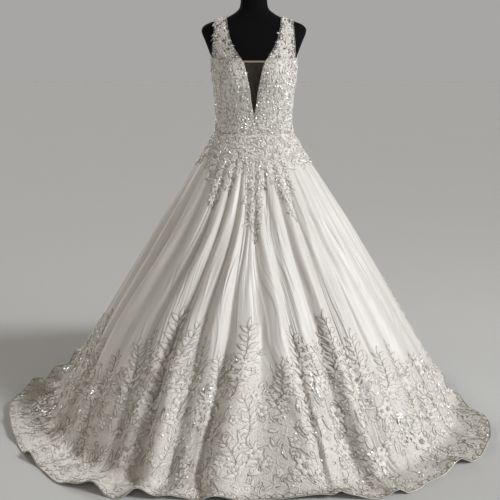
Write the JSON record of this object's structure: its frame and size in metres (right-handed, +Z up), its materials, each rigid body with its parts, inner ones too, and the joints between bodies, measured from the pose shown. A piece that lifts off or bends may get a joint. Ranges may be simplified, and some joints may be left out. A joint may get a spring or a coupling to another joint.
{
  "type": "a-line wedding dress on a dress form",
  "caption": "Sleeveless a-line wedding dress: lace bodice with a deep plunge, pleated satin skirt and train, on a limbless dress form with a stand.",
  "frame": {"origin": "on the floor, at the middle of the underside of the dress form's base", "axes": "+Z up along the form's pole, -Y towards the front of the dress, +X towards the viewer's right"},
  "size_m": [1.7783, 2.0357, 1.5653],
  "materials": {
    "satin": "ivory duchess satin, soft sheen",
    "lace": "ivory corded lace with beads and sequins",
    "net": "fine sheer net over the dark form",
    "form_cover": "black jersey cover",
    "stand_metal": "black satin paint"
  },
  "bodies": {
    "root": {"bodice_front_left": "lace", "bodice_front_right": "lace", "bodice_back_left": "lace", "bodice_back_right": "lace", "net_insert": "net", "strap_left": "lace", "strap_right": "lace", "skirt_front": "satin", "skirt_side_left": "satin", "skirt_side_right": "satin", "skirt_back_left": "satin", "skirt_back_right": "satin", "waist_lace_front": "lace", "waist_lace_back_left": "lace", "waist_lace_back_right": "lace", "form_torso": "form_cover", "form_neck_cap": "stand_metal", "form_pole": "stand_metal", "form_base": "stand_metal"}
  },
  "joints": []
}
